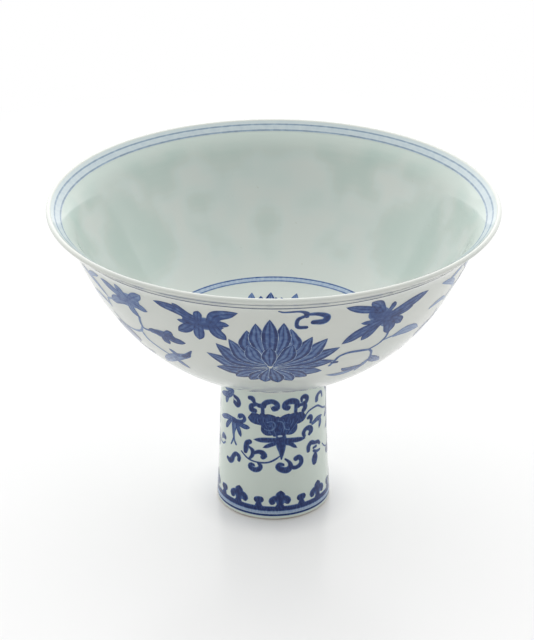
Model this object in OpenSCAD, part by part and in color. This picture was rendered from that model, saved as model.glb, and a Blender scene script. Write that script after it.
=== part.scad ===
// Footed porcelain stem cup: a thrown bowl with a turned-out lip, luted with slip
// onto a thrown hollow stem. Millimetres, +Z up, origin at the middle of the foot rim.

/* [Bowl] */
// Outer diameter of the lip
rim_d = 156; // [146:1:166]
// Height of the bowl from its seat to the top of the lip
bowl_h = 63.5; // [58:0.5:68]
// Height of the turned-out lip
lip_h = 10.5; // [9:0.5:12]
// How far the lip turns out beyond the top of the wall
lip_flare = 8.1; // [7:0.1:9]
// Thickness of the lip at its rounded edge
lip_t = 1.8; // [1.4:0.1:2.4]
// Thickness of the wall just below the lip
upper_wall_t = 2.4; // [2:0.1:3]
// Thickness of the wall where it leaves the seat
lower_wall_t = 6; // [5:0.1:7]
// Thickness of the floor at the middle, above the seat
floor_t = 3.2; // [2.6:0.1:4.4]
// Slope of the underside where it leaves the seat, in degrees
rise_angle = 20; // [16:1:24]
// Slope of the wall just below the lip, in degrees
wall_angle = 68; // [64:1:72]
// Slope of the lip at its edge, in degrees
lip_angle = 40; // [34:1:46]
// Length of the full curve low on the wall
belly_low = 31.5; // [28:0.5:34]
// Length of the full curve high on the wall
belly_high = 24.5; // [21:0.5:28]

/* [Stem] */
// Height of the stem from the foot rim to its top face
stem_h = 51; // [44:0.5:60]
// Outer diameter of the stem at its top
stem_top_d = 37.4; // [34:0.2:41]
// Outer diameter of the stem at the foot
foot_d = 40.8; // [38:0.2:45]
// Height over which the stem draws in from the foot
flare_h = 16; // [12:0.5:20]
// Draw-in of the stem just above the foot, in degrees
flare_angle = 3; // [2:0.5:4.5]
// Thickness of the stem's wall at its top
stem_top_wall_t = 4.4; // [3.6:0.1:5]
// Width of the flat foot rim that the cup stands on
foot_rim_w = 2.6; // [2:0.1:3.2]
// Radius of the rounded edges of the foot rim
foot_round = 0.8; // [0.5:0.1:1]

/* [Join] */
// Thickness of the slip between the bowl's seat and the stem's top face
slip_t = 0.5; // [0.3:0.1:1]
// Gap filled with slip between the bowl's boss and the mouth of the stem
slip_gap = 0.6; // [0.4:0.1:1]
// Depth of the boss that centres the bowl in the mouth of the stem
boss_h = 1.8; // [1.4:0.1:2.4]
// Straight height of the boss below the seat
boss_side_h = 1; // [0.7:0.1:1.2]
// Reach of the slip fillet over the bowl and down the stem
fillet_reach = 1.4; // [1:0.1:2]

/* [Hidden] */
$fn = 128;
wall_steps = 30;
lip_steps = 12;
cap_steps = 8;
floor_steps = 10;
stem_steps = 20;
round_steps = 6;
fillet_steps = 6;

rim_r = rim_d / 2;
lip_r = lip_t / 2;
stem_top_r = stem_top_d / 2;
foot_r = foot_d / 2;
mouth_r = stem_top_r - stem_top_wall_t;
foot_hollow_r = foot_r - foot_rim_w - 2 * foot_round;
mid_r = (mouth_r + stem_top_r) / 2;
boss_r = mouth_r - slip_gap;
seat_z = stem_h + slip_t;
lip_top_z = seat_z + bowl_h;
cap_centre = [rim_r - lip_r, lip_top_z - lip_r];
wall_top = [rim_r - lip_flare, lip_top_z - lip_h];
lip_handle = lip_h * 0.45;
fillet_bite = 0.04;
floor_handle = mouth_r / 2;

porcelain = [0.91, 0.93, 0.91];
biscuit = [0.93, 0.9, 0.85];
slip = [0.88, 0.9, 0.87];

// Unit vector at an angle in degrees, in the plane of the profile
function along(angle) = [cos(angle), sin(angle)];

// Unit vector to the left of a direction
function left_of(v) = [-v[1], v[0]] / norm(v);

// Point of a cubic curve with four control points
function cubic(c, t) =
    pow(1 - t, 3) * c[0] + 3 * pow(1 - t, 2) * t * c[1]
    + 3 * (1 - t) * t * t * c[2] + pow(t, 3) * c[3];

// Direction of a cubic curve
function heading(c, t) =
    pow(1 - t, 2) * (c[1] - c[0]) + 2 * (1 - t) * t * (c[2] - c[1]) + t * t * (c[3] - c[2]);

// Points along a cubic curve, from its start to its end
function curve(c, steps) = [for (i = [0 : steps]) cubic(c, i / steps)];

// Points on the inner face of a wall that thins evenly along a cubic curve
function inner_face(c, steps, start_t, end_t) = [
    for (i = [0 : steps])
        let (t = i / steps, thick = start_t + (end_t - start_t) * t)
            cubic(c, t) + thick * left_of(heading(c, t))
];

// Points on an arc about a centre
function arc(centre, r, from_angle, to_angle, steps) = [
    for (i = [0 : steps]) centre + r * along(from_angle + (to_angle - from_angle) * i / steps)
];

// The same points in the other order
function reversed(points) = [for (i = [len(points) - 1 : -1 : 0]) points[i]];

// All points but the first
function after_first(points) = [for (i = [1 : len(points) - 1]) points[i]];

// Outer face of the wall, from the edge of the seat to the root of the lip
wall_curve = [
    [stem_top_r, seat_z],
    [stem_top_r, seat_z] + belly_low * along(rise_angle),
    wall_top - belly_high * along(wall_angle),
    wall_top
];

// Outer face of the lip, from its root to the start of its rounded edge
lip_end = cap_centre + lip_r * along(lip_angle - 90);
lip_curve = [
    wall_top,
    wall_top + lip_handle * along(wall_angle),
    lip_end - lip_handle * along(lip_angle),
    lip_end
];

inner_wall = inner_face(wall_curve, wall_steps, lower_wall_t, upper_wall_t);
inner_lip = inner_face(lip_curve, lip_steps, upper_wall_t, lip_t);

// Floor of the well, from the middle out to the inner wall
floor_curve = [
    [0, seat_z + floor_t],
    [floor_handle, seat_z + floor_t],
    inner_wall[0] - floor_handle * along(rise_angle),
    inner_wall[0]
];

// Outer face of the stem, from the top of the foot's rounded edge to the top face
stem_curve = [
    [foot_r, foot_round],
    [foot_r, foot_round] + flare_h * along(90 + flare_angle),
    [stem_top_r, stem_h - flare_h],
    [stem_top_r, stem_h]
];

// Fillet between the bowl's underside and the stem, drawn a little into the corner
fillet_r = fillet_reach * tan((90 + rise_angle) / 2);
fillet_centre = [stem_top_r, seat_z] + (1 - fillet_bite) * [fillet_r, -fillet_reach];

// Underside of the boss, from its straight side to the middle
boss_curve = [
    [boss_r, seat_z - boss_side_h],
    [boss_r * 0.7, seat_z - boss_h],
    [boss_r * 0.4, seat_z - boss_h],
    [0, seat_z - boss_h]
];

// Half section of the bowl, with its seat and the boss below it
module bowl_profile() {
    polygon(concat(
        curve(wall_curve, wall_steps),
        after_first(curve(lip_curve, lip_steps)),
        after_first(arc(cap_centre, lip_r, lip_angle - 90, lip_angle + 90, cap_steps)),
        after_first(reversed(inner_lip)),
        after_first(reversed(inner_wall)),
        after_first(reversed(curve(floor_curve, floor_steps))),
        reversed(curve(boss_curve, floor_steps)),
        [[boss_r, seat_z]]
    ));
}

// Half section of the stem, hollow from the foot to its mouth
module stem_profile() {
    polygon(concat(
        arc([foot_r - foot_round, foot_round], foot_round, -90, 0, round_steps),
        after_first(curve(stem_curve, stem_steps)),
        [[mouth_r, stem_h]],
        arc([foot_hollow_r + foot_round, foot_round], foot_round, 180, 270, round_steps)
    ));
}

// Slip as it fills the joint, before the bowl and the stem take their room in it
module slip_blank() {
    polygon(concat(
        [[boss_r, seat_z - boss_side_h], [mid_r, seat_z - boss_side_h], [mid_r, seat_z - fillet_reach]],
        arc(fillet_centre, fillet_r, 180, rise_angle + 90, fillet_steps),
        [[boss_r, seat_z + fillet_reach * sin(rise_angle)]]
    ));
}

module bowl() {
    color(porcelain)
        rotate_extrude()
            bowl_profile();
}

module stem() {
    color(biscuit)
        rotate_extrude()
            stem_profile();
}

// Ring of slip that bonds the bowl to the stem, wiped to a fillet outside
module luting_ring() {
    color(slip)
        rotate_extrude()
            difference() {
                slip_blank();
                bowl_profile();
                stem_profile();
            }
}

bowl();
stem();
luting_ring();
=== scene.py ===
"""Dresses the stem cup: glazed porcelain, bare foot rim and cobalt painting under the glaze."""

from __future__ import annotations

import logging
import math
from dataclasses import dataclass, field
from enum import Enum
from typing import ClassVar

import bpy
import numpy as np
from bpy.types import Material, Mesh, Node, NodeSocket, Object
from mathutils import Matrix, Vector
from mathutils.geometry import delaunay_2d_cdt

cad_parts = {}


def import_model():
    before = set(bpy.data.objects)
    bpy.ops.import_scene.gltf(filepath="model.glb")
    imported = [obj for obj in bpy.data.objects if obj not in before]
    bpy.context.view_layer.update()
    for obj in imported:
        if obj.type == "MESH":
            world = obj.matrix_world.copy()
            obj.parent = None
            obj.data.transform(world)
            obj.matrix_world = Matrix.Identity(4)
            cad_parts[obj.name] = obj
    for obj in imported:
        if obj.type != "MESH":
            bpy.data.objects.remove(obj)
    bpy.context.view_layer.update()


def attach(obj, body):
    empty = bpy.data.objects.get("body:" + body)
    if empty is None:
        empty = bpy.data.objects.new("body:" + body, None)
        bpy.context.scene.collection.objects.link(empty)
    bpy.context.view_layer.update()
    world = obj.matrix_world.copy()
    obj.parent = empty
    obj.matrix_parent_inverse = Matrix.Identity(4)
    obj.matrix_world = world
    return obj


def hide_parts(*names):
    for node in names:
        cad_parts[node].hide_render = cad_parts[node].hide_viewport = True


MM = 0.001
TINY = 1e-9
LOG = logging.getLogger("stem_cup")
Colour = tuple[float, float, float, float]
Knot = tuple[float, float, float]
Point = tuple[float, float, float]
Range = tuple[float, float]
Row = tuple[float, ...]
WHITE: Colour = (1.0, 1.0, 1.0, 1.0)
SQUARE = ((-1.0, -1.0), (1.0, -1.0), (1.0, 1.0), (-1.0, 1.0))


def along(angle: float) -> np.ndarray:
    """Unit vector at an angle in degrees, in the plane of a half section."""
    return np.array([math.cos(math.radians(angle)), math.sin(math.radians(angle))])


def cubic(c: list[np.ndarray], count: int) -> np.ndarray:
    """Points along a cubic curve.

    Args:
        c: The four control points.
        count: How many points to take.

    Returns:
        An array of points from the start to the end of the curve.
    """
    t = np.linspace(0.0, 1.0, count)[:, None]
    return (1 - t) ** 3 * c[0] + 3 * (1 - t) ** 2 * t * c[1] + 3 * (1 - t) * t**2 * c[2] + t**3 * c[3]


def inner_cubic(c: list[np.ndarray], count: int, start: float, end: float) -> np.ndarray:
    """Points on the inner face of a wall that follows a cubic curve.

    Args:
        c: The four control points of the outer face.
        count: How many points to take.
        start: Thickness at the start of the curve.
        end: Thickness at its end.

    Returns:
        One point to the left of each point that cubic gives.
    """
    t = np.linspace(0.0, 1.0, count)[:, None]
    h = (1 - t) ** 2 * (c[1] - c[0]) + 2 * (1 - t) * t * (c[2] - c[1]) + t**2 * (c[3] - c[2])
    left = np.stack([-h[:, 1], h[:, 0]], 1) / np.linalg.norm(h, axis=1, keepdims=True)
    return cubic(c, count) + np.linspace(start, end, count)[:, None] * left


def arc(centre: np.ndarray, radius: float, start: float, end: float, count: int) -> np.ndarray:
    """Points on an arc.

    Args:
        centre: The arc's centre.
        radius: The arc's radius.
        start: First angle in degrees.
        end: Last angle in degrees.
        count: How many points to take.

    Returns:
        An array of points from the first angle to the last.
    """
    return np.array([centre + radius * along(a) for a in np.linspace(start, end, count)])


def lengths_along(points: np.ndarray) -> np.ndarray:
    """Length from the start of a path to each of its points."""
    return np.concatenate([[0.0], np.cumsum(np.linalg.norm(np.diff(points, axis=0), axis=1))])


@dataclass
class Section:
    """A path of a half section, in millimetres, that is turned about the axis.

    The solid lies to the left of the path, so the path's right side is the face that shows.
    """

    SAME: ClassVar[float] = 1e-6
    LONG: ClassVar[float] = 1.5

    points: np.ndarray
    lengths: np.ndarray = field(init=False)

    def __post_init__(self) -> None:
        """Drops repeated points and measures the path."""
        steps = np.diff(lengths_along(self.points))
        self.points = self.points[np.concatenate([[True], steps > self.SAME])]
        self.lengths = lengths_along(self.points)

    @property
    def length(self) -> float:
        """Whole length of the path."""
        return float(self.lengths[-1])

    def long_steps(self) -> np.ndarray:
        """Lengths where a long straight step of the path starts."""
        steps = np.abs(np.diff(self.points, axis=0)).sum(1)
        return self.lengths[np.flatnonzero(steps > self.LONG)]

    def rows(self, count: int, *extra: np.ndarray) -> np.ndarray:
        """Even lengths along the path, and extra ones where it bends."""
        return np.unique(np.concatenate([np.linspace(0.0, self.length, count), *extra]).round(6))

    def radius(self, s: np.ndarray | float) -> np.ndarray:
        """Distance from the axis at a length along the path."""
        return np.interp(s, self.lengths, self.points[:, 0])

    def curve_object(self, name: str) -> Object:
        """Makes a helper curve of the path.

        Args:
            name: Name of the helper.

        Returns:
            A curve object in the XZ plane, in metres.
        """
        data = bpy.data.curves.new(name, "CURVE")
        data.dimensions = "3D"
        spline = data.splines.new("POLY")
        spline.points.add(len(self.points) - 1)
        for knot, (r, z) in zip(spline.points, self.points * MM):
            knot.co = (r, 0.0, z, 1.0)
        helper = bpy.data.objects.new(name, data)
        bpy.context.collection.objects.link(helper)
        return helper


class Nodes:
    """Short way to place and link the nodes of a tree."""

    def __init__(self, tree: bpy.types.NodeTree) -> None:
        """Starts with an empty tree."""
        self.tree = tree
        tree.nodes.clear()

    def add(self, kind: str, links: dict[str | int, object] | None = None, **settings: object) -> Node:
        """Adds a node.

        Args:
            kind: Blender's name of the node.
            links: Input socket to a linked output or a value.
            settings: Properties of the node.

        Returns:
            The node.
        """
        node = self.tree.nodes.new(kind)
        for key, value in settings.items():
            setattr(node, key, value)
        for key, value in (links or {}).items():
            if isinstance(value, NodeSocket):
                self.tree.links.new(value, node.inputs[key])
            else:
                node.inputs[key].default_value = value
        return node

    def math(self, operation: str, *values: object, clamp: bool = False) -> NodeSocket:
        """Numbers or sockets put through a math node."""
        links = dict(enumerate(values))
        return self.add("ShaderNodeMath", links, operation=operation, use_clamp=clamp).outputs[0]


class TurnTree(Nodes):
    """Node tree that repeats a flat sheet round the axis and lays it on a turned face."""

    INPUTS = {
        "Section": "NodeSocketObject",
        "Repeats": "NodeSocketInt",
        "First angle": "NodeSocketFloat",
        "Lift": "NodeSocketFloat",
        "Seam": "NodeSocketFloat",
        "Finish": "NodeSocketMaterial",
    }
    FRONT = -math.pi / 2
    CREASE = math.radians(40.0)
    WELD = 1e-6

    def __init__(self) -> None:
        """Builds the tree once."""
        super().__init__(bpy.data.node_groups.new("turn_on_section", "GeometryNodeTree"))
        face = self.tree.interface
        face.new_socket("Sheet", in_out="INPUT", socket_type="NodeSocketGeometry")
        self.inputs: dict[str, str] = {}
        for name, kind in self.INPUTS.items():
            self.inputs[name] = face.new_socket(name, in_out="INPUT", socket_type=kind).identifier
        face.new_socket("Turned", in_out="OUTPUT", socket_type="NodeSocketGeometry")
        self._wire()

    def _parts(self, vector: NodeSocket) -> bpy.types.NodeOutputs:
        """The three parts of a vector."""
        return self.add("ShaderNodeSeparateXYZ", {0: vector}).outputs

    def _copies(self, sheet: NodeSocket, repeats: NodeSocket) -> NodeSocket:
        """Copies a sheet and stores each copy's share of a whole turn.

        Args:
            sheet: The flat sheet.
            repeats: How many copies to make.

        Returns:
            The copies as one geometry, with the attribute turn.
        """
        single = self.add("GeometryNodeGeometryToInstance", {0: sheet}).outputs[0]
        links = {"Geometry": single, "Amount": repeats}
        copies = self.add("GeometryNodeDuplicateElements", links, domain="INSTANCE").outputs
        share = self.math("DIVIDE", copies["Duplicate Index"], repeats)
        links = {"Geometry": copies["Geometry"], "Name": "turn", "Value": share}
        stored = self.add("GeometryNodeStoreNamedAttribute", links, data_type="FLOAT", domain="INSTANCE")
        return self.add("GeometryNodeRealizeInstances", {0: stored.outputs[0]}).outputs[0]

    def _wire(self) -> None:
        """Places and links the nodes."""
        given = self.add("NodeGroupInput").outputs
        sheets = self._copies(given["Sheet"], given["Repeats"])
        flat = self._parts(self.add("GeometryNodeInputPosition").outputs[0])
        path = self.add("GeometryNodeObjectInfo", {"Object": given["Section"]}).outputs["Geometry"]
        links = {"Curves": path, "Length": flat[1]}
        sample = self.add("GeometryNodeSampleCurve", links, mode="LENGTH").outputs
        spot, lean = self._parts(sample["Position"]), self._parts(sample["Tangent"])
        out_r, out_z = lean[2], self.math("MULTIPLY", lean[0], -1.0)
        radius = self.math("ADD", spot[0], self.math("MULTIPLY", out_r, given["Lift"]))
        height = self.math("ADD", spot[2], self.math("MULTIPLY", out_z, given["Lift"]))
        turn = self.add("GeometryNodeInputNamedAttribute", {"Name": "turn"}, data_type="FLOAT").outputs[0]
        share = self.math("MULTIPLY", turn, 2 * math.pi)
        angle = self.math("ADD", self.math("ADD", flat[0], share), given["First angle"])
        cos, sin = self.math("COSINE", angle), self.math("SINE", angle)
        place, facing = (
            self.add(
                "ShaderNodeCombineXYZ",
                {0: self.math("MULTIPLY", r, cos), 1: self.math("MULTIPLY", r, sin), 2: z},
            ).outputs[0]
            for r, z in ((radius, height), (out_r, out_z))
        )
        links = {"Geometry": sheets, "Name": "facing", "Value": facing}
        marked = self.add("GeometryNodeStoreNamedAttribute", links, data_type="FLOAT_VECTOR", domain="POINT")
        links = {"Geometry": marked.outputs[0], "Position": place}
        moved = self.add("GeometryNodeSetPosition", links)
        links = {"Geometry": moved.outputs[0], "Distance": given["Seam"]}
        closed = self.add("GeometryNodeMergeByDistance", links)
        smooth = self.add("GeometryNodeSetShadeSmooth", {"Geometry": closed.outputs[0]})
        whole = self.add("GeometryNodeRealizeInstances", {0: smooth.outputs[0]})
        links = {"Geometry": whole.outputs[0], "Material": given["Finish"]}
        finish = self.add("GeometryNodeSetMaterial", links)
        self.add("NodeGroupOutput", {0: finish.outputs[0]})

    def body(self, name: str, section: Section, around: int, up: np.ndarray, finish: Material) -> Object:
        """Turns a whole section into a closed body.

        Args:
            name: Name of the piece.
            section: The path that is turned.
            around: How many cells go round the axis.
            up: Lengths along the path at the rows of points.
            finish: Material of the piece.

        Returns:
            The piece.
        """
        return self.turn(name, sheet_grid(name, section, around, up), section, finish, seam=self.WELD)

    def turn(
        self,
        name: str,
        sheet: Mesh,
        section: Section,
        finish: Material,
        repeats: int = 1,
        lift: float = 0.0,
        seam: float = 0.0,
    ) -> Object:
        """Turns a flat sheet into a finished piece.

        Args:
            name: Name of the piece.
            sheet: Flat mesh, with X as an angle in radians and Y as a length along the section.
            section: The path that the sheet is laid on.
            finish: Material of the piece.
            repeats: How many copies go round the axis.
            lift: How far the sheet stands off the face, in metres.
            seam: Distance at which points are merged, in metres, with 0 for none.

        Returns:
            A mesh object at the origin with no modifier left on it.
        """
        path = section.curve_object(name + "_section")
        flat = bpy.data.objects.new(name + "_sheet", sheet)
        bpy.context.collection.objects.link(flat)
        nodes = flat.modifiers.new("turn", "NODES")
        nodes.node_group = self.tree
        for key, value in zip(self.INPUTS, (path, repeats, self.FRONT, lift, seam, finish)):
            nodes[self.inputs[key]] = value
        graph = bpy.context.evaluated_depsgraph_get()
        mesh = bpy.data.meshes.new_from_object(flat.evaluated_get(graph), depsgraph=graph)
        mesh.name = name
        for helper in (flat, path):
            bpy.data.objects.remove(helper)
        facing = np.empty(len(mesh.vertices) * 3)
        mesh.attributes["facing"].data.foreach_get("vector", facing)
        for spare in ("facing", "turn"):
            if spare in mesh.attributes:
                mesh.attributes.remove(mesh.attributes[spare])
        if seam:
            mesh.set_sharp_from_angle(angle=self.CREASE)
        else:
            mesh.normals_split_custom_set_from_vertices(facing.reshape(-1, 3).tolist())
        piece = bpy.data.objects.new(name, mesh)
        bpy.context.collection.objects.link(piece)
        return piece


def sheet_grid(name: str, section: Section, around: int, up: np.ndarray) -> Mesh:
    """Flat grid for a whole turned face.

    Args:
        name: Name of the mesh.
        section: The path that the grid is laid on.
        around: How many cells go round the axis.
        up: Lengths along the path at the grid's rows, in millimetres.

    Returns:
        A grid mesh with a bake map that fills the square.
    """
    rows, columns = len(up), around + 1
    x, y = np.meshgrid(np.linspace(0.0, 2 * math.pi, columns), up * MM)
    points = np.stack([x.ravel(), y.ravel(), np.zeros(x.size)], 1)
    first = (np.arange(rows - 1)[:, None] * columns + np.arange(around)[None, :]).ravel()
    faces = np.stack([first, first + 1, first + columns + 1, first + columns], 1)
    mesh = bpy.data.meshes.new(name)
    mesh.from_pydata(points.tolist(), [], faces.tolist())
    layer = mesh.uv_layers.new(name="OFBake")
    uv = np.stack([x.ravel() / (2 * math.pi), y.ravel() / (section.length * MM)], 1)
    layer.uv.foreach_set("vector", uv[faces.ravel()].astype(np.float32).ravel())
    return mesh


class Laid(Enum):
    """How a brush stroke is laid: shares of its half width and the ink that lies there."""

    LINE = ((0.0, 1.0), (0.6, 1.0), (1.0, 0.6))
    LEAF = ((0.0, 0.9), (0.3, 0.62), (0.7, 0.74), (1.0, 1.0))
    PETAL = ((0.0, 1.0), (0.18, 0.6), (0.48, 0.52), (0.72, 1.0), (1.0, 1.05))
    SOLID = ((0.0, 0.9), (0.6, 0.92), (1.0, 1.0))
    LIFTED = ((0.0, 0.0), (0.5, 0.0), (1.0, 0.6))

    @property
    def opaque(self) -> bool:
        """Whether the stroke covers what lies below it."""
        return self in (Laid.PETAL, Laid.SOLID)


@dataclass
class Stroke:
    """A brush stroke along knots, each a place on its chart and a half width in millimetres."""

    knots: list[Knot]
    ink: float = 0.85
    laid: Laid = Laid.LINE
    bleed: float = 0.16
    rim: float = 0.1

    def moved(self, across: float, up: float = 0.0, size: float = 1.0, turn: float = 0.0) -> Stroke:
        """The same stroke in another place.

        Args:
            across: How far it moves across its chart.
            up: How far it moves up its chart.
            size: Its new size.
            turn: Degrees that it turns by, on a chart in millimetres.

        Returns:
            A new stroke.
        """
        c, s = along(turn) * size
        knots = [(c * x - s * y + across, s * x + c * y + up, w * size) for x, y, w in self.knots]
        return Stroke(knots, self.ink, self.laid, self.bleed * min(size, 1.0), self.rim)


def line(ink: float, *knots: Knot) -> Stroke:
    """A plain brush line through its knots."""
    return Stroke(list(knots), ink)


def swell(root: Knot, bend: Knot, tip: Range) -> list[Knot]:
    """Knots of a form that swells from its root to its bend and narrows to a point."""
    x, y = (0.45 * b + 0.55 * t for b, t in zip(bend, tip))
    return [root, bend, (x, y, 0.78 * bend[2]), (*tip, 0.0)]


def spear(root: Knot, bend: Knot, tip: Range, ink: float) -> Stroke:
    """A plain pointed stroke."""
    return Stroke(swell(root, bend, tip), ink)


def blade(ink: float, *knots: Knot) -> Stroke:
    """A long leaf through its knots."""
    return Stroke(list(knots), ink, Laid.LEAF)


def leaf(root: Knot, bend: Knot, tip: Range, ink: float = 0.88) -> Stroke:
    """A leaf lobe: a soft wash with darker edges."""
    return Stroke(swell(root, bend, tip), ink, Laid.LEAF, 0.22)


def petal(root: Knot, bend: Knot, tip: Range, ink: float) -> Stroke:
    """An opaque petal with a pale edge kept round it."""
    return Stroke(swell(root, bend, tip), ink, Laid.PETAL, 0.3)


def lifted(level: float, *knots: Knot) -> Stroke:
    """A pale line lifted out of the ink below it."""
    return Stroke(list(knots), level, Laid.LIFTED, 0.08)


@dataclass
class Chart:
    """Map of a turned face: degrees round the axis, and millimetres along the section."""

    section: Section

    def metric(self, spots: np.ndarray, middle: float) -> np.ndarray:
        """Spots of the chart in true millimetres about a middle."""
        across = np.radians(spots[:, 0] - middle) * self.section.radius(spots[:, 1])
        return np.stack([across, spots[:, 1]], 1)

    def spots(self, metric: np.ndarray, middle: float) -> np.ndarray:
        """True millimetres about a middle as spots of the chart."""
        turned = np.degrees(metric[:, 0] / self.section.radius(metric[:, 1]))
        return np.stack([turned + middle, metric[:, 1]], 1)

    def sheet(self, spots: np.ndarray) -> np.ndarray:
        """Spots of the chart as radians round the axis and millimetres along the section."""
        return np.stack([np.radians(spots[:, 0]), spots[:, 1]], 1)


class WellChart(Chart):
    """Map of the well from above: millimetres to the right of its middle and to the back."""

    def metric(self, spots: np.ndarray, middle: float) -> np.ndarray:
        """Spots of the chart in true millimetres about a middle."""
        return spots - (middle, 0.0)

    def spots(self, metric: np.ndarray, middle: float) -> np.ndarray:
        """True millimetres about a middle as spots of the chart."""
        return metric + (middle, 0.0)

    def sheet(self, spots: np.ndarray) -> np.ndarray:
        """Spots of the chart as radians round the axis and millimetres along the section."""
        angle = np.arctan2(spots[:, 1], spots[:, 0]) + math.pi / 2
        return np.stack([angle, self.section.length - np.hypot(spots[:, 0], spots[:, 1])], 1)


@dataclass
class Brushed:
    """A stroke sampled in true millimetres, ready to be laid down."""

    FINE: ClassVar[int] = 16
    THINNEST: ClassVar[float] = 0.03
    BLUNT: ClassVar[float] = 0.1
    CAP_ANGLES: ClassVar[tuple[float, ...]] = (0.5, 0.9, 1.25, 1.5)
    FULL_EDGE_AT: ClassVar[float] = 0.4
    LEAST_EDGE: ClassVar[float] = 0.25
    RIM_STEEPNESS: ClassVar[float] = 3.0
    SLACK: ClassVar[float] = 1.02

    stroke: Stroke
    middle: float
    spine: np.ndarray
    half: np.ndarray

    @staticmethod
    def sample(stroke: Stroke, chart: Chart, step: float) -> Brushed:
        """Draws a smooth spine through a stroke's knots and rounds its blunt ends.

        Args:
            stroke: The stroke.
            chart: The chart that it is written on.
            step: Length of one sample, in millimetres.

        Returns:
            The sampled stroke.
        """
        knots = np.array(stroke.knots, float)
        middle = float(knots[:, 0].mean())
        given = np.hstack([chart.metric(knots[:, :2], middle), knots[:, 2:]])
        padded = np.vstack([2 * given[0] - given[1], given, 2 * given[-1] - given[-2]])
        t = np.arange(Brushed.FINE)[:, None] / Brushed.FINE
        fine = [
            b + 0.5 * t * (c - a + t * (2 * a - 5 * b + 4 * c - d + t * (3 * b - a - 3 * c + d)))
            for a, b, c, d in zip(padded, padded[1:], padded[2:], padded[3:])
        ]
        path = np.vstack([*fine, given[-1:]])
        run = lengths_along(path[:, :2])
        at = np.linspace(0.0, run[-1], max(4, round(run[-1] / step) + 1))
        path = np.stack([np.interp(at, run, path[:, k]) for k in range(3)], 1)
        wide = np.flatnonzero(path[:, 2] > Brushed.THINNEST)
        path = path[max(wide[0] - 1, 0) : wide[-1] + 2]
        path[:, 2] = np.maximum(path[:, 2], 0.0)
        start, end = Brushed._cap(path[1], path[0]), Brushed._cap(path[-2], path[-1])
        path = np.vstack([start[::-1], path, end])
        return Brushed(stroke, middle, path[:, :2], path[:, 2])

    @staticmethod
    def _cap(before: np.ndarray, end: np.ndarray) -> np.ndarray:
        """Rounds an end if it is blunt.

        Args:
            before: The point before the end.
            end: The end, with its half width.

        Returns:
            Points beyond the end, with their half widths.
        """
        lead, half = end[:2] - before[:2], end[2]
        lead = lead / max(np.linalg.norm(lead), TINY)
        angles = Brushed.CAP_ANGLES if half > Brushed.BLUNT else ()
        cap = [(*(end[:2] + lead * half * math.sin(q)), half * math.cos(q)) for q in angles]
        return np.array(cap).reshape(-1, 3)

    @property
    def edge(self) -> np.ndarray:
        """Width of the soft edge, which narrows at a point."""
        return self.stroke.bleed * np.clip(self.half / self.FULL_EDGE_AT, self.LEAST_EDGE, 1.0)

    def outlines(self) -> list[np.ndarray]:
        """Lines along the stroke on both sides, at its edge and where its ink changes.

        Returns:
            Paths in the stroke's own millimetres, with the closed edge first.
        """
        lead = np.gradient(self.spine, axis=0)
        lead /= np.maximum(np.linalg.norm(lead, axis=1, keepdims=True), TINY)
        side = np.stack([-lead[:, 1], lead[:, 0]], 1)
        outer = (self.half + self.edge)[:, None]
        left, right = self.spine + side * outer, self.spine - side * outer
        start, end = self.spine[:1] - (lead * outer)[:1], self.spine[-1:] + (lead * outer)[-1:]
        lines = [np.vstack([start, left, end, right[::-1], start])]
        reaches = [self.half * share for share, _ in self.stroke.laid.value if share > 0.0]
        lines += [self.spine + sign * side * r[:, None] for r in reaches for sign in (1.0, -1.0)]
        return lines if self.stroke.laid in (Laid.LINE, Laid.LIFTED) else [*lines, self.spine]

    def ink_at(self, points: np.ndarray) -> tuple[np.ndarray, np.ndarray]:
        """Ink of the stroke at points of the face.

        Args:
            points: Points in the stroke's own millimetres.

        Returns:
            Whether each point is under the stroke, and the ink there.
        """
        a, d = self.spine[:-1], np.diff(self.spine, axis=0)
        t = np.clip(((points[:, None] - a) * d).sum(2) / np.maximum((d * d).sum(1), TINY**2), 0.0, 1.0)
        off = np.linalg.norm(points[:, None] - a - t[..., None] * d, axis=2)
        half = self.half[:-1] + t * np.diff(self.half)
        edge = self.edge[:-1] + t * np.diff(self.edge)
        ratio = off / (half + edge)
        pick = (np.arange(len(points)), ratio.argmin(1))
        off, half, edge = off[pick], half[pick], edge[pick]
        shares, tones = np.array(self.stroke.laid.value).T
        body = np.interp(off / np.maximum(half, TINY), shares, tones)
        beyond = np.clip((off - half) / edge, 0.0, 1.0)
        tone = self.stroke.ink
        if self.stroke.laid is Laid.LIFTED:
            ink = tone + (1.0 - tone) * (body + (1.0 - body) * beyond)
        elif self.stroke.laid.opaque:
            fall = np.minimum(self.RIM_STEEPNESS * beyond, 1.0)
            ink = np.where(off > half, tone + (self.stroke.rim - tone) * fall, tone * body)
        else:
            ink = tone * body * (1.0 - beyond)
        return ratio[pick] <= self.SLACK, np.clip(ink, 0.0, 1.0)


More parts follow.
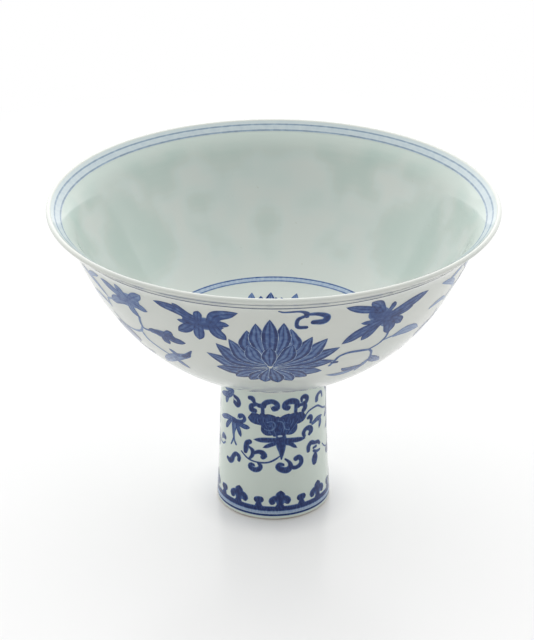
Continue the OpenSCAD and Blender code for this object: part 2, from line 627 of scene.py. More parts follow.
@dataclass
class Painting:
    """Brush strokes that are laid on one face and repeated round it.

    A cut painting ends at the edges of its repeat, so that its rings close without an overlap.
    """

    MERGE: ClassVar[float] = 1e-3
    FAINTEST: ClassVar[float] = 0.01
    MARGIN: ClassVar[float] = 0.01

    name: str
    chart: Chart
    strokes: list[Stroke]
    repeats: int
    step: float = 0.6
    cut: bool = False
    lift: float = 0.05

    def brushed(self) -> list[Brushed]:
        """All strokes, sampled in their order."""
        return [Brushed.sample(s, self.chart, self.step) for s in self.strokes]

    def sheet(self) -> Mesh:
        """Cuts the strokes into one flat layer of triangles that carry their ink.

        Returns:
            A flat mesh of angles and lengths, with the ink of each corner.
        """
        strokes = self.brushed()
        lines = [self.chart.spots(path, b.middle) for b in strokes for path in b.outlines()]
        if self.cut:
            limit = 180.0 / self.repeats
            lines = [np.clip(path, (-limit, -np.inf), (limit, np.inf)) for path in lines]
        edges, start = [], 0
        for path in lines:
            edges += [(start + k, start + k + 1) for k in range(len(path) - 1)]
            start += len(path)
        cut = delaunay_2d_cdt([Vector(p) for p in np.vstack(lines)], edges, [], 0, self.MERGE, False)
        spots = np.array([tuple(v) for v in cut[0]])
        faces = np.array([f for f in cut[2] if len(f) == 3])
        middles = spots[faces].mean(1)
        ink = np.zeros(faces.shape)
        for b in strokes:
            outline = self.chart.spots(np.vstack(b.outlines()), b.middle)
            near = np.flatnonzero(((middles >= outline.min(0)) & (middles <= outline.max(0))).all(1))
            if not len(near):
                continue
            near = near[b.ink_at(self.chart.metric(middles[near], b.middle))[0]]
            corners = self.chart.metric(spots[faces[near]].reshape(-1, 2), b.middle)
            under, laid = (found.reshape(-1, 3) for found in b.ink_at(corners))
            near, laid = near[under.all(1)], laid[under.all(1)]
            if b.stroke.laid.opaque:
                ink[near] = laid
            elif b.stroke.laid is Laid.LIFTED:
                ink[near] = np.minimum(ink[near], laid)
            else:
                ink[near] = np.maximum(ink[near], laid)
        kept = ink.max(1) > self.FAINTEST
        return self._mesh(spots, faces[kept], ink[kept])

    def _mesh(self, spots: np.ndarray, faces: np.ndarray, ink: np.ndarray) -> Mesh:
        """Builds the flat mesh.

        Args:
            spots: Places on the chart.
            faces: Corners of each triangle.
            ink: Ink at each corner.

        Returns:
            The mesh, with its ink, its brush places and a bake map that all repeats share.
        """
        used, corners = np.unique(faces, return_inverse=True)
        spots, corners = spots[used], corners.reshape(-1, 3)
        ab, ac = (spots[corners[:, k]] - spots[corners[:, 0]] for k in (1, 2))
        back = ab[:, 0] * ac[:, 1] < ab[:, 1] * ac[:, 0]
        corners[back], ink[back] = corners[back][:, ::-1], ink[back][:, ::-1]
        sheet = self.chart.sheet(spots) * (1.0, MM)
        mesh = bpy.data.meshes.new(self.name)
        mesh.from_pydata(np.pad(sheet, ((0, 0), (0, 1))).tolist(), [], corners.tolist())
        tones = mesh.attributes.new("ink", "FLOAT", "CORNER").data
        tones.foreach_set("value", ink.astype(np.float32).ravel())
        places = mesh.attributes.new("brush_at", "FLOAT_VECTOR", "POINT").data
        places.foreach_set("vector", np.pad(spots, ((0, 0), (0, 1))).astype(np.float32).ravel())
        low, high = spots.min(0), spots.max(0)
        uv = self.MARGIN + (1.0 - 2 * self.MARGIN) * (spots - low) / (high - low)
        layer = mesh.uv_layers.new(name="OFBake")
        layer.uv.foreach_set("vector", uv[corners.ravel()].astype(np.float32).ravel())
        return mesh

    def build(self, tree: TurnTree, finish: Material, slot: str) -> Object:
        """Lays the painting on its face.

        Args:
            tree: The node tree that turns a sheet.
            finish: Material of the painting.
            slot: Not used.

        Returns:
            The finished piece, riding on the cup.
        """
        lift = self.lift * MM
        piece = tree.turn(self.name, self.sheet(), self.chart.section, finish, self.repeats, lift=lift)
        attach(piece, "root")
        return piece


class Shader(Nodes):
    """The nodes of one material."""

    MIDDLE = (0.35, 0.65)
    GLAZE_IOR = 1.42
    GLAZE_ROUGHNESS = (0.06, 0.11)
    PEEL_SCALE = 140.0
    WEAR_SCALE = 60.0

    def __init__(self, name: str) -> None:
        """Starts an empty material.

        Args:
            name: Name of the material.
        """
        self.material = bpy.data.materials.new(name)
        self.material.use_nodes = True
        super().__init__(self.material.node_tree)

    def place(self) -> NodeSocket:
        """Coordinates of the object itself."""
        return self.add("ShaderNodeTexCoord").outputs["Object"]

    def read(self, name: str, output: str = "Fac") -> NodeSocket:
        """An attribute of the piece."""
        return self.add("ShaderNodeAttribute", attribute_name=name).outputs[output]

    def noise(self, at: NodeSocket, scale: float, detail: float) -> NodeSocket:
        """Noise between 0 and 1."""
        return self.add("ShaderNodeTexNoise", {"Vector": at, "Scale": scale, "Detail": detail}).outputs[0]

    def span(self, at: NodeSocket, given: Range, wanted: Range = (0.0, 1.0)) -> NodeSocket:
        """A value from one range mapped to another, held at its ends."""
        return self.add("ShaderNodeMapRange", dict(enumerate((at, *given, *wanted)))).outputs[0]

    def ramp(self, at: NodeSocket, *stops: tuple[float, Colour]) -> NodeSocket:
        """Colours along a value.

        Args:
            at: The value.
            stops: Places and their colours.

        Returns:
            The colour output.
        """
        node = self.add("ShaderNodeValToRGB", {0: at})
        ends = node.color_ramp.elements
        while len(ends) < len(stops):
            ends.new(0.5)
        for end, (place, colour) in zip(ends, stops):
            end.position, end.color = place, colour
        return node.outputs[0]

    def mix(self, share: object, a: object, b: object, blend: str = "MIX") -> NodeSocket:
        """Two colours mixed.

        Args:
            share: Share of the second colour.
            a: First colour.
            b: Second colour.
            blend: Blender's name of the blend.

        Returns:
            The colour output.
        """
        node = self.add("ShaderNodeMix", {0: share, 6: a, 7: b}, data_type="RGBA", blend_type=blend)
        return node.outputs[2]

    def close(self, look: dict[str, object], height: NodeSocket, strength: float, depth: float) -> Material:
        """Closes the material with a surface that has a fine relief.

        Args:
            look: Inputs of the surface.
            height: Height of the relief.
            strength: Strength of the relief.
            depth: Depth of the relief in metres.

        Returns:
            The finished material.
        """
        relief = self.add("ShaderNodeBump", {"Height": height, "Strength": strength, "Distance": depth})
        surface = self.add("ShaderNodeBsdfPrincipled", {**look, "Normal": relief.outputs[0]})
        self.add("ShaderNodeOutputMaterial", {"Surface": surface.outputs[0]})
        return self.material

    def glazed(self, colour: NodeSocket, at: NodeSocket, unit: float = 1.0) -> Material:
        """Closes the material with a clear, slightly uneven glaze.

        Args:
            colour: The colour under the glaze.
            at: Coordinates of the glaze's unevenness.
            unit: Length of one coordinate unit in metres.

        Returns:
            The finished material.
        """
        worn = self.noise(at, self.WEAR_SCALE * unit, 2.0)
        roughness = self.span(worn, self.MIDDLE, self.GLAZE_ROUGHNESS)
        look = {"Base Color": colour, "Roughness": roughness, "IOR": self.GLAZE_IOR}
        return self.close(look, self.noise(at, self.PEEL_SCALE * unit, 2.0), strength=0.03, depth=0.0004)


@dataclass(frozen=True)
class PorcelainGlaze:
    """Clear glaze with a faint green tint over white porcelain."""

    pale: Colour = (0.690, 0.710, 0.665, 1.0)
    deep: Colour = (0.650, 0.685, 0.645, 1.0)
    # tint colours the inside of the bowl, and shade is the colour of the painted shade there
    tint: Colour = (0.450, 0.700, 0.690, 1.0)
    shade: Colour = (0.500, 0.610, 0.560, 1.0)
    pit: Colour = (0.82, 0.80, 0.74, 1.0)
    cloud_scale: float = 28.0
    pit_scale: float = 900.0

    def material(self, name: str) -> Material:
        """Builds the finish.

        Args:
            name: Name of the material.

        Returns:
            A material that also mixes in the painted shade that its piece's through attribute carries.
        """
        n = Shader(name)
        at = n.place()
        clouds = n.span(n.noise(at, self.cloud_scale, 2.0), n.MIDDLE)
        body = n.mix(clouds, self.pale, self.deep)
        # Painted shade: through darkens the inside where the outside painting would shine through the wall,
        # and up the inner lip
        through = n.read("through")
        body = n.mix(through, body, n.ramp(through, (0.08, self.tint), (0.45, self.shade)))
        pits = n.ramp(n.noise(at, self.pit_scale, 0.0), (0.0, self.pit), (0.16, WHITE))
        return n.glazed(n.mix(1.0, body, pits, "MULTIPLY"), at)


@dataclass(frozen=True)
class CobaltPainting:
    """Cobalt brushwork under the glaze, from thin washes to heaped dark lines."""

    ground: Colour = (0.640, 0.690, 0.645, 1.0)
    wash: Colour = (0.420, 0.545, 0.720, 1.0)
    thin: Colour = (0.160, 0.256, 0.450, 1.0)
    cobalt: Colour = (0.028, 0.077, 0.248, 1.0)
    heaped: Colour = (0.003, 0.019, 0.116, 1.0)
    pool_scale: float = 0.55

    def material(self, name: str) -> Material:
        """Builds the finish.

        Args:
            name: Name of the material.

        Returns:
            A material that reads the ink and the brush places of its piece, which are in millimetres.
        """
        n = Shader(name)
        at = n.read("brush_at", "Vector")
        pooled = n.span(n.noise(at, self.pool_scale, 3.0), (0.3, 0.7), (0.74, 1.2))
        ink = n.math("MULTIPLY", n.read("ink"), pooled, clamp=True)
        blue = n.ramp(ink, (0.05, self.wash), (0.32, self.thin), (0.66, self.cobalt), (0.98, self.heaped))
        return n.glazed(n.mix(n.span(ink, (0.0, 0.2)), self.ground, blue), at, MM)


@dataclass(frozen=True)
class BareBiscuit:
    """Unglazed porcelain of the foot rim, warmer where the fire touched it."""

    white: Colour = (0.62, 0.57, 0.52, 1.0)
    warm: Colour = (0.52, 0.40, 0.34, 1.0)
    flush_scale: float = 120.0
    grain_scale: float = 1800.0

    def material(self, name: str) -> Material:
        """Builds the finish.

        Args:
            name: Name of the material.

        Returns:
            A matt, finely grained material.
        """
        n = Shader(name)
        at = n.place()
        flush = n.span(n.noise(at, self.flush_scale, 3.0), (0.4, 0.7), (0.0, 0.8))
        look = {"Base Color": n.mix(flush, self.white, self.warm), "Roughness": 0.75}
        return n.close(look, n.noise(at, self.grain_scale, 2.0), strength=0.25, depth=0.0003)


@dataclass
class Stem:
    """Hollow stem with its bare foot rim, in millimetres."""

    height: float = 51.0
    top_r: float = 18.7
    foot_r: float = 20.4
    flare_h: float = 16.0
    flare_angle: float = 3.0
    wall: float = 4.4
    rim_w: float = 2.6
    rounding: float = 0.8
    glaze_starts: float = 0.7
    face_points: int = 240
    round_points: int = 9
    around: int = 192
    rows: int = 110

    def face(self) -> Section:
        """Outer face, from the rounded foot up to the top.

        Returns:
            The path that the stem's painting lies on.
        """
        start = np.array([self.foot_r, self.rounding])
        end = np.array([self.top_r, self.height])
        pull = start + self.flare_h * along(90.0 + self.flare_angle)
        return Section(cubic([start, pull, end - (0.0, self.flare_h), end], self.face_points))

    def skin(self) -> Section:
        """Whole closed section, from the foot rim up outside and down the hollow.

        Returns:
            A path that ends where it starts.
        """
        outer = np.array([self.foot_r - self.rounding, self.rounding])
        inner = outer - (self.rim_w, 0.0)
        outer_round = arc(outer, self.rounding, -90.0, 0.0, self.round_points)
        inner_round = arc(inner, self.rounding, 180.0, 270.0, self.round_points)
        mouth = np.array([[self.top_r - self.wall, self.height]])
        flat = np.array([[outer[0], 0.0]])
        return Section(np.vstack([outer_round, self.face().points[1:], mouth, inner_round, flat]))

    def build(self, tree: TurnTree, glaze: Material, biscuit: Material) -> Object:
        """Turns the stem and bares its foot rim.

        Args:
            tree: The node tree that turns a sheet.
            glaze: Finish of the glazed faces.
            biscuit: Finish of the bare rim.

        Returns:
            The finished piece.
        """
        skin = self.skin()
        first, last = self.round_points + 1, self.round_points + 3
        up = skin.rows(self.rows, skin.long_steps(), skin.lengths[:first], skin.lengths[-last:])
        piece = tree.body("stem_body", skin, self.around, up, glaze)
        piece.data.materials.append(biscuit)
        for face in piece.data.polygons:
            face.material_index = int(face.center.z < self.glaze_starts * MM)
        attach(piece, "root")
        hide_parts("stem")
        return piece


@dataclass
class Bowl:
    """Thrown bowl with its turned-out lip, in millimetres."""

    seat_r: float = 18.7
    seat_z: float = 51.5
    rim_r: float = 78.0
    height: float = 63.5
    lip_h: float = 10.5
    lip_flare: float = 8.1
    lip_pull: float = 0.45
    lip_t: float = 1.8
    upper_t: float = 2.4
    lower_t: float = 6.0
    floor_t: float = 3.2
    rise_angle: float = 20.0
    wall_angle: float = 68.0
    lip_angle: float = 40.0
    belly_low: float = 31.5
    belly_high: float = 24.5
    boss_r: float = 13.7
    boss_h: float = 1.8
    boss_side_h: float = 1.0
    boss_flat: tuple[float, ...] = (0.0, 0.4, 0.7)
    mouth_r: float = 14.3
    wall_points: int = 300
    lip_points: int = 100
    floor_points: int = 60
    boss_points: int = 12
    cap_points: int = 13
    around: int = 256
    rows: int = 200

    def __post_init__(self) -> None:
        """Works out the curves of the wall and the lip."""
        top = self.seat_z + self.height
        edge = self.lip_t / 2
        self.cap = np.array([self.rim_r - edge, top - edge])
        self.seat = np.array([self.seat_r, self.seat_z])
        wall_top = np.array([self.rim_r - self.lip_flare, top - self.lip_h])
        lip_end = self.cap + edge * along(self.lip_angle - 90.0)
        pull = self.lip_pull * self.lip_h
        self.wall_curve = [
            self.seat,
            self.seat + self.belly_low * along(self.rise_angle),
            wall_top - self.belly_high * along(self.wall_angle),
            wall_top,
        ]
        self.lip_curve = [
            wall_top,
            wall_top + pull * along(self.wall_angle),
            lip_end - pull * along(self.lip_angle),
            lip_end,
        ]

    def outside(self) -> Section:
        """Outer face, from the edge of the seat up to the lip."""
        wall, lip = cubic(self.wall_curve, self.wall_points), cubic(self.lip_curve, self.lip_points)
        return Section(np.vstack([wall, lip[1:]]))

    def inside(self) -> Section:
        """Inner face, from the lip down to the middle of the floor.

        Returns:
            The path that the well's painting lies on.
        """
        wall = inner_cubic(self.wall_curve, self.wall_points, self.lower_t, self.upper_t)
        lip = inner_cubic(self.lip_curve, self.lip_points, self.upper_t, self.lip_t)
        middle = np.array([0.0, self.seat_z + self.floor_t])
        pull = self.mouth_r / 2
        ends = [middle, middle + (pull, 0.0), wall[0] - pull * along(self.rise_angle), wall[0]]
        floor = cubic(ends, self.floor_points)
        return Section(np.vstack([floor, wall[1:], lip[1:]])[::-1])

    def skin(self) -> Section:
        """Whole section, from the middle of the boss round the wall to the middle of the floor.

        Returns:
            A path that starts and ends on the axis.
        """
        low = self.seat_z - self.boss_h
        side = np.array([self.boss_r, self.seat_z - self.boss_side_h])
        flats = [np.array([self.boss_r * share, low]) for share in self.boss_flat]
        boss = cubic([*flats, side], self.boss_points)
        seat = np.array([[self.boss_r, self.seat_z]])
        cap = arc(self.cap, self.lip_t / 2, self.lip_angle - 90.0, self.lip_angle + 90.0, self.cap_points)
        return Section(np.vstack([boss, seat, self.outside().points, cap[1:], self.inside().points[1:]]))

    def build(self, tree: TurnTree, glaze: Material, painting: Painting) -> Object:
        """Turns the bowl and paints shade on its inside: the outside painting's shadow, as if it shone
        through the wall, and a darker inner lip.

        Args:
            tree: The node tree that turns a sheet.
            glaze: Finish of the bowl.
            painting: The painting on the outside.

        Returns:
            The finished piece.
        """
        skin = self.skin()
        start = len(skin.points) - len(self.inside().points)
        boss, cap = skin.lengths[: self.boss_points + 2], skin.lengths[start - self.cap_points : start + 1]
        piece = tree.body("bowl_body", skin, self.around, skin.rows(self.rows, boss, cap), glaze)
        ShineThrough().store(piece, self, painting)
        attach(piece, "root")
        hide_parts("bowl")
        return piece


@dataclass(frozen=True)
class ShineThrough:
    """Painted shade on the inside of the bowl, in millimetres: the outside painting's shadow as if it shone
    through the thin wall, a darker band up the inner lip, and a faint tint below it.
    """

    rows: int = 60
    columns: int = 120
    blurs: int = 3
    share: float = 0.85
    drop: float = 3.0
    skin: float = 1.2
    well_h: float = 8.0
    # Painted shade up the inner lip: through rises from the inside's faint tint to a darker lip
    lip_z: tuple[float, ...] = (102.5, 108.0, 114.0)
    inside_tint_and_lip_shade: tuple[float, ...] = (0.08, 0.48, 0.72)

    def shadow(self, painting: Painting, lengths: np.ndarray) -> np.ndarray:
        """How dark one repeat of a painting is, softened by the wall.

        Args:
            painting: The painting on the outside.
            lengths: Lengths up the wall at the rows.

        Returns:
            An array with rows up the wall and columns round one repeat.
        """
        span = 360.0 / painting.repeats
        angles = np.linspace(-span / 2, span / 2, self.columns, endpoint=False)
        grid = np.stack(np.meshgrid(angles, lengths), -1).reshape(-1, 2)
        dark = np.zeros(len(grid))
        for b in painting.brushed():
            near = (grid[:, 0] - b.middle + span / 2) % span - span / 2 + b.middle
            under, ink = b.ink_at(painting.chart.metric(np.stack([near, grid[:, 1]], 1), b.middle))
            dark = np.maximum(dark, np.where(under, ink, 0.0))
        dark = dark.reshape(self.rows, self.columns)
        for axis in (0, 1) * self.blurs:
            dark = (dark + np.roll(dark, 1, axis) + np.roll(dark, -1, axis)) / 3
        return dark

    def store(self, piece: Object, bowl: Bowl, painting: Painting) -> None:
        """Stores this painted shade and tint as the bowl's through attribute.

        Args:
            piece: The turned bowl.
            bowl: Its sizes.
            painting: The painting on the outside.
        """
        mesh = piece.data
        points = np.empty(len(mesh.vertices) * 3)
        mesh.vertices.foreach_get("co", points)
        x, y, z = points.reshape(-1, 3).T / MM
        face = bowl.outside()
        lengths = np.linspace(0.0, face.length, self.rows)
        heights = np.interp(lengths, face.lengths, face.points[:, 1])
        span = 360.0 / painting.repeats
        angle = np.degrees(np.arctan2(y, x)) + 90.0
        column = (((angle + span / 2) % span) / span * self.columns).astype(int) % self.columns
        row = np.clip(np.searchsorted(heights, z - self.drop), 0, self.rows - 1)
        wall = np.interp(z, heights, face.radius(lengths))
        inner = (np.hypot(x, y) < wall - self.skin) & (z > bowl.seat_z + self.well_h)
        # Painted shade: the outside painting's softened shadow and the darker lip band go into the inside's
        # colour
        dark = self.shadow(painting, lengths)[row, column]
        value = np.where(inner, np.interp(z, self.lip_z, self.inside_tint_and_lip_shade) + self.share * dark, 0.0)
        mesh.attributes.new("through", "FLOAT", "POINT").data.foreach_set("value", value.astype(np.float32))


@dataclass
class LutingRing:
    """Ring of slip between the bowl and the stem, in millimetres."""

    seat_r: float = 18.7
    seat_z: float = 51.5
    slip_t: float = 0.5
    mouth_r: float = 14.3
    boss_r: float = 13.7
    boss_side_h: float = 1.0
    rise_angle: float = 20.0
    reach: float = 1.4
    fillet_points: int = 12
    around: int = 192

    def skin(self) -> Section:
        """Closed section of the ring with its outer fillet.

        Returns:
            A path that ends where it starts.
        """
        radius = self.reach * math.tan(math.radians(45.0 + self.rise_angle / 2))
        corner = np.array([self.seat_r, self.seat_z])
        middle = corner + (radius, -self.reach)
        fillet = arc(middle, radius, 180.0, self.rise_angle + 90.0, self.fillet_points)
        stem_z = self.seat_z - self.slip_t
        low = self.seat_z - self.boss_side_h
        inner = [(self.boss_r, self.seat_z), (self.boss_r, low), (self.mouth_r, low), (self.mouth_r, stem_z)]
        return Section(np.vstack([fillet, [corner], inner, [(self.seat_r, stem_z)], fillet[:1]]))

    def build(self, tree: TurnTree, glaze: Material) -> Object:
        """Turns the ring.

        Args:
            tree: The node tree that turns a sheet.
            glaze: Finish of the ring.

        Returns:
            The finished piece.
        """
        skin = self.skin()
        piece = tree.body("slip_ring", skin, self.around, skin.lengths, glaze)
        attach(piece, "root")
        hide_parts("luting_ring")
        return piece


@dataclass
class Studio:
    """White table, soft light and the camera of the photograph, in metres."""

    lens: float = 132.59
    sensor: float = 36.0
    place: Point = (-0.0023, -0.7434, 0.4363)
    tilt: float = 63.7424
    clip: float = 0.05
    sky: float = 1.04
    sky_lean: Point = (-0.04, 0.70, 0.13)
    table_reach: float = 3.0
    table_colour: Colour = (0.80, 0.80, 0.795, 1.0)
    table_roughness: float = 0.2
    table_ior: float = 1.35
    fade_middle: Point = (0.0, 0.05, 0.0)
    fade_reach: Range = (0.08, 0.36)
    fade: Range = (0.34, 1.0)
    foot_shadow: Range = (0.020, 0.032)
    lamp_place: Point = (-0.3, 1.6, 1.7)
    lamp_aim: Point = (0.0, 0.0, 0.07)
    lamp_size: float = 2.4
    lamp_power: float = 12.0

    def camera(self) -> None:
        """Sets the camera."""
        data = bpy.data.cameras.new("view")
        data.lens = self.lens
        data.sensor_width = self.sensor
        data.clip_start = self.clip
        eye = bpy.data.objects.new("view", data)
        eye.location = self.place
        eye.rotation_euler = (math.radians(self.tilt), 0.0, 0.0)
        bpy.context.collection.objects.link(eye)
        bpy.context.scene.camera = eye

    def paper(self) -> Material:
        """Satin white with emitted white mixed in for what sees it directly: painted light that lifts the
        cup's shadow on the table, pure white further from the cup and cut away round the foot.

        Returns:
            The table's material.
        """
        n = Shader("white_table")
        at = n.place()
        look = {"Base Color": self.table_colour, "Roughness": self.table_roughness, "IOR": self.table_ior}
        sheen = n.add("ShaderNodeBsdfPrincipled", look)
        far, near = (
            n.add("ShaderNodeVectorMath", {0: at, 1: spot}, operation="DISTANCE").outputs["Value"]
            for spot in (self.fade_middle, (0.0, 0.0, 0.0))
        )
        # Painted light: a third or more of white goes into the table's shadow beyond the foot
        fade = n.math("MULTIPLY", n.span(far, self.fade_reach, self.fade), n.span(near, self.foot_shadow))
        path = n.add("ShaderNodeLightPath").outputs
        seen = n.math("MAXIMUM", path["Is Camera Ray"], path["Is Glossy Ray"])
        white = n.add("ShaderNodeEmission", {"Color": WHITE, "Strength": 1.0})
        links = {0: n.math("MULTIPLY", fade, seen), 1: sheen.outputs[0], 2: white.outputs[0]}
        both = n.add("ShaderNodeMixShader", links)
        n.add("ShaderNodeOutputMaterial", {"Surface": both.outputs[0]})
        return n.material

    def table(self) -> None:
        """Lays the white table."""
        mesh = bpy.data.meshes.new("table")
        corners = [(x * self.table_reach, y * self.table_reach, 0.0) for x, y in SQUARE]
        mesh.from_pydata(corners, [], [(0, 1, 2, 3)])
        mesh.materials.append(self.paper())
        table = bpy.data.objects.new("table", mesh)
        bpy.context.collection.objects.link(table)

    def lamp(self) -> None:
        """Hangs a soft square lamp behind the cup."""
        data = bpy.data.lights.new("back_softbox", "AREA")
        data.size = self.lamp_size
        data.energy = self.lamp_power
        lamp = bpy.data.objects.new("back_softbox", data)
        lamp.location = self.lamp_place
        aim = Vector(self.lamp_aim) - Vector(self.lamp_place)
        lamp.rotation_euler = aim.to_track_quat("-Z", "Y").to_euler()
        lamp.visible_camera = False
        bpy.context.collection.objects.link(lamp)

    def sky_light(self) -> None:
        """Sets pale surroundings that are brighter behind the cup and above it."""
        world = bpy.data.worlds.new("white_room")
        world.use_nodes = True
        n = Nodes(world.node_tree)
        towards = n.add("ShaderNodeTexCoord").outputs["Generated"]
        lean = n.add("ShaderNodeVectorMath", {0: towards, 1: self.sky_lean}, operation="DOT_PRODUCT")
        level = n.math("ADD", lean.outputs["Value"], self.sky)
        path = n.add("ShaderNodeLightPath").outputs
        seen = n.math("MAXIMUM", path["Is Camera Ray"], path["Is Transmission Ray"])
        strength = n.add("ShaderNodeMix", {0: seen, 2: level, 3: 1.0})
        back = n.add("ShaderNodeBackground", {"Color": WHITE, "Strength": strength.outputs[0]})
        n.add("ShaderNodeOutputWorld", {0: back.outputs[0]})
        bpy.context.scene.world = world

    def build(self) -> None:
        """Sets up the whole studio."""
        bpy.context.scene.view_settings.view_transform = "Standard"
        self.camera()
        self.table()
        self.sky_light()
        self.lamp()


@dataclass(frozen=True)
class Band:
    """A plain painted ring: its length along the face, half width and ink."""

    at: float
    half: float
    ink: float

    def stroke(self, span: float) -> Stroke:
        """A stretch of the ring over a span in degrees."""
        return Stroke([(a, self.at, self.half) for a in np.linspace(-span / 2, span / 2, 9)], self.ink)


@dataclass(frozen=True)
class Rings:
    """Plain rings that close round a face, each drawn a little longer than its repeat and cut."""

    REPEATS: ClassVar[int] = 5
    SPAN: ClassVar[float] = 74.0
    STEP: ClassVar[float] = 1.5

    name: str
    bands: tuple[Band, ...]

    def painting(self, chart: Chart) -> Painting:
        """The rings as a painting on a chart."""
        strokes = [band.stroke(self.SPAN) for band in self.bands]
        return Painting(self.name, chart, strokes, self.REPEATS, self.STEP, True)


OUTER_LINES = Rings("lip_lines_outside", (Band(82.5, 0.36, 0.74), Band(86.2, 0.36, 0.42)))
INNER_LINES = Rings(
    "lip_lines_inside",
    (Band(0.85, 0.6, 0.06), Band(3.0, 1.0, 0.09), Band(1.8, 0.34, 0.22), Band(4.3, 0.34, 0.235)),
)
WELL_RINGS = Rings("well_rings", (Band(61.7, 0.6, 0.16), Band(60.9, 0.24, 0.6), Band(62.5, 0.22, 0.5)))


@dataclass(frozen=True)
class LobedLeaf:
    """A leaf with a pale middle between two knots; a lobe's row is its root, bend, tip and half width."""

    core: tuple[Knot, Knot]
    rows: tuple[Row, ...]
    ink: float = 0.96

    def lobe(self, a: float, b: float, c: float, d: float, e: float, f: float, half: float) -> Stroke:
        """One lobe from its row."""
        return leaf((a, b, 0.8 * half), (c, d, half), (e, f), self.ink)

    def strokes(self) -> list[Stroke]:
        """The pale middle, and the lobes over it."""
        return [line(0.78 * self.ink, *self.core), *(self.lobe(*row) for row in self.rows)]


